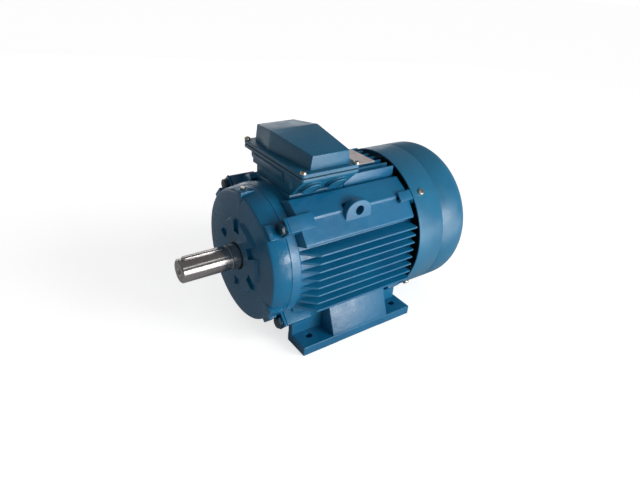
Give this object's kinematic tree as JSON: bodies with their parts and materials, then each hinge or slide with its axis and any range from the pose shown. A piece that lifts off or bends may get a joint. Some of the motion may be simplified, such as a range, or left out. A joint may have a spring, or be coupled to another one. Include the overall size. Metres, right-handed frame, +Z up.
{
  "type": "electric motor",
  "caption": "Foot-mounted, fan-cooled induction motor: finned cast frame with feet, top terminal box, keyed shaft end and domed fan cover.",
  "frame": {"origin": "on the floor under the middle of the motor's length, on its vertical plane of symmetry", "axes": "+Z up; X along the shaft, whose drive end points to -X; the cable entries are on the -Y side"},
  "size_m": [0.5, 0.263, 0.3205],
  "materials": {
    "frame_paint": "semi-gloss blue enamel on cast iron",
    "endshield_paint": "semi-gloss blue enamel on cast iron",
    "box_paint": "semi-gloss blue enamel on cast metal",
    "cover_paint": "smooth semi-gloss blue enamel on sheet steel",
    "bolt_paint": "dark blue enamel over steel",
    "zinc_steel": "bright zinc plate with a slight gold tint",
    "shaft_steel": "fine-turned and polished",
    "bearing_steel": "ground",
    "spring_steel": "dark phosphated",
    "core_steel": "stacked laminations",
    "cast_aluminium": "die cast",
    "winding": "varnished copper wire",
    "rubber": "matt",
    "fan_plastic": "moulded",
    "board_plastic": "moulded",
    "brass": "machined",
    "nameplate_metal": "brushed, blank"
  },
  "bodies": {
    "frame": {"stator_frame": "frame_paint", "drive_endshield": "endshield_paint", "drive_grease_plug": "zinc_steel", "rear_endshield": "endshield_paint", "drive_endshield_bolt_1": "bolt_paint", "rear_endshield_bolt_1": "bolt_paint", "drive_endshield_bolt_2": "bolt_paint", "rear_endshield_bolt_2": "bolt_paint", "drive_endshield_bolt_3": "bolt_paint", "rear_endshield_bolt_3": "bolt_paint", "drive_endshield_bolt_4": "bolt_paint", "rear_endshield_bolt_4": "bolt_paint", "drive_bearing_outer_ring": "bearing_steel", "rear_bearing_outer_ring": "bearing_steel", "bearing_retaining_ring": "spring_steel", "bearing_preload_washer": "spring_steel", "stator_core": "core_steel", "stator_winding": "winding", "fan_cover": "cover_paint", "fan_cover_screw_1": "zinc_steel", "fan_cover_screw_2": "zinc_steel", "fan_cover_screw_3": "zinc_steel", "fan_cover_screw_4": "zinc_steel", "terminal_box_base": "box_paint", "cable_entry_plug_1": "box_paint", "cable_entry_plug_2": "box_paint", "lid_gasket": "rubber", "terminal_box_lid": "box_paint", "lid_screw_1": "zinc_steel", "lid_screw_2": "zinc_steel", "lid_screw_3": "zinc_steel", "lid_screw_4": "zinc_steel", "terminal_board": "board_plastic", "terminal_stud_low_1": "brass", "terminal_stud_low_2": "brass", "terminal_stud_low_3": "brass", "terminal_stud_high_1": "brass", "terminal_stud_high_2": "brass", "terminal_stud_high_3": "brass", "terminal_link_1": "brass", "terminal_link_2": "brass", "terminal_link_3": "brass", "nameplate": "nameplate_metal"},
    "rotor": {"shaft": "shaft_steel", "shaft_key": "shaft_steel", "shaft_seal": "rubber", "drive_bearing_inner_ring": "bearing_steel", "rear_bearing_inner_ring": "bearing_steel", "rotor_core": "core_steel", "rotor_cage": "cast_aluminium", "cooling_fan": "fan_plastic", "fan_retaining_ring": "spring_steel"},
    "drive_balls": {"drive_bearing_balls": "bearing_steel"},
    "rear_balls": {"rear_bearing_balls": "bearing_steel"}
  },
  "joints": [
    {"name": "rotor_spin", "type": "hinge", "parent": "frame", "child": "rotor", "pos_m": [0, 0, 0.132], "axis": [1, 0, 0], "continuous": true},
    {"name": "drive_balls_spin", "type": "hinge", "parent": "frame", "child": "drive_balls", "pos_m": [-0.137, 0, 0.132], "axis": [1, 0, 0], "continuous": true},
    {"name": "rear_balls_spin", "type": "hinge", "parent": "frame", "child": "rear_balls", "pos_m": [0.1176, 0, 0.132], "axis": [1, 0, 0], "continuous": true}
  ],
  "couplings": [
    {"joint": "drive_balls_spin", "follows": "rotor_spin", "ratio": 0.4},
    {"joint": "rear_balls_spin", "follows": "rotor_spin", "ratio": 0.4}
  ]
}
